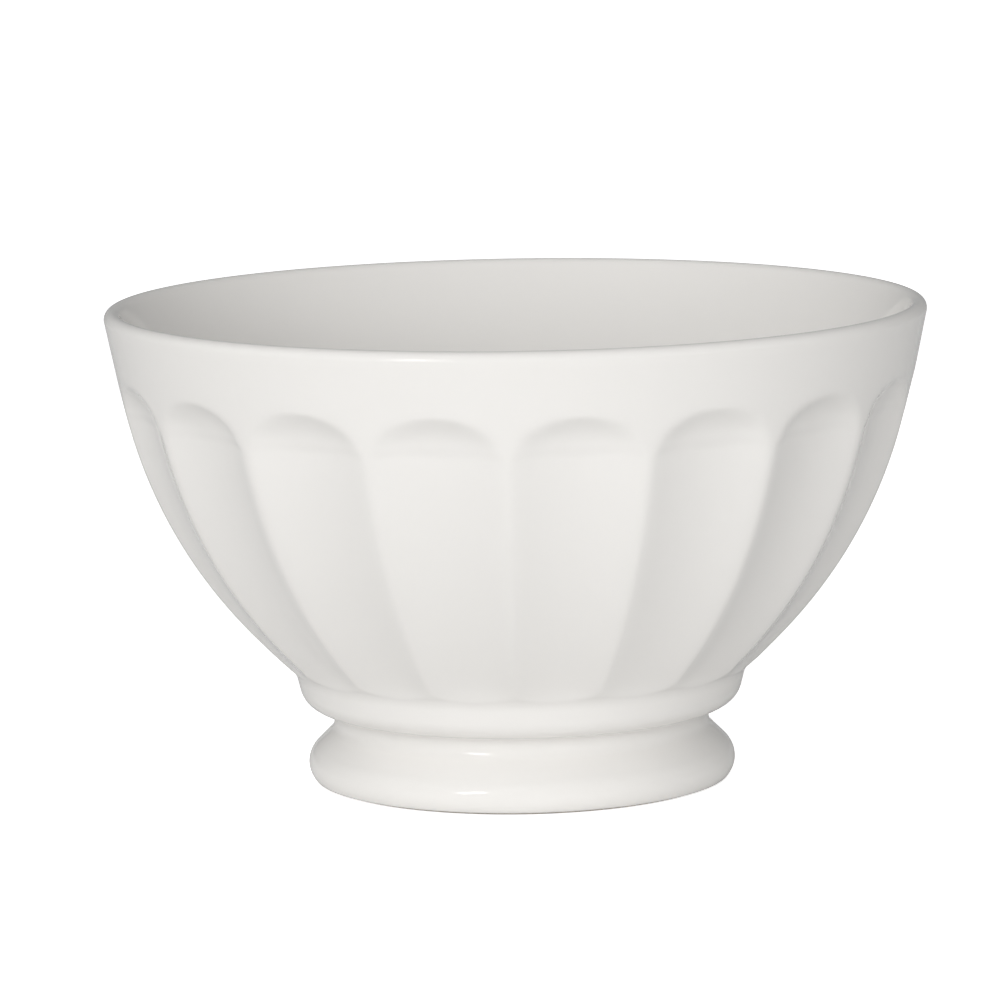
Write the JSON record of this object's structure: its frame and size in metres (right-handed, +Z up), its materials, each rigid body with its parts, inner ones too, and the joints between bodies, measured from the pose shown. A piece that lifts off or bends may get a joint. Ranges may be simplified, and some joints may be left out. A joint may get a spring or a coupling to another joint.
{
  "type": "latte bowl",
  "caption": "Footed ceramic latte bowl with a plain rounded rim band above scooped, arch-topped flutes, and a hollow flared foot ring.",
  "frame": {"origin": "on the bowl's axis, on the table that the foot stands on", "axes": "+Z up along the bowl's axis, -Y towards the viewer of the picture, +X to the viewer's right"},
  "size_m": [0.14, 0.14, 0.082],
  "materials": {
    "bare_clay": "unglazed, fine matte stoneware",
    "slip": "fired joining slip, matte",
    "glaze": "smooth glossy glaze, white"
  },
  "bodies": {
    "root": {"bowl_body": "glaze", "foot_ring": "bare_clay", "slip_seam": "slip", "inside_glaze": "glaze", "foot_glaze": "glaze", "underside_glaze": "glaze"}
  },
  "joints": []
}
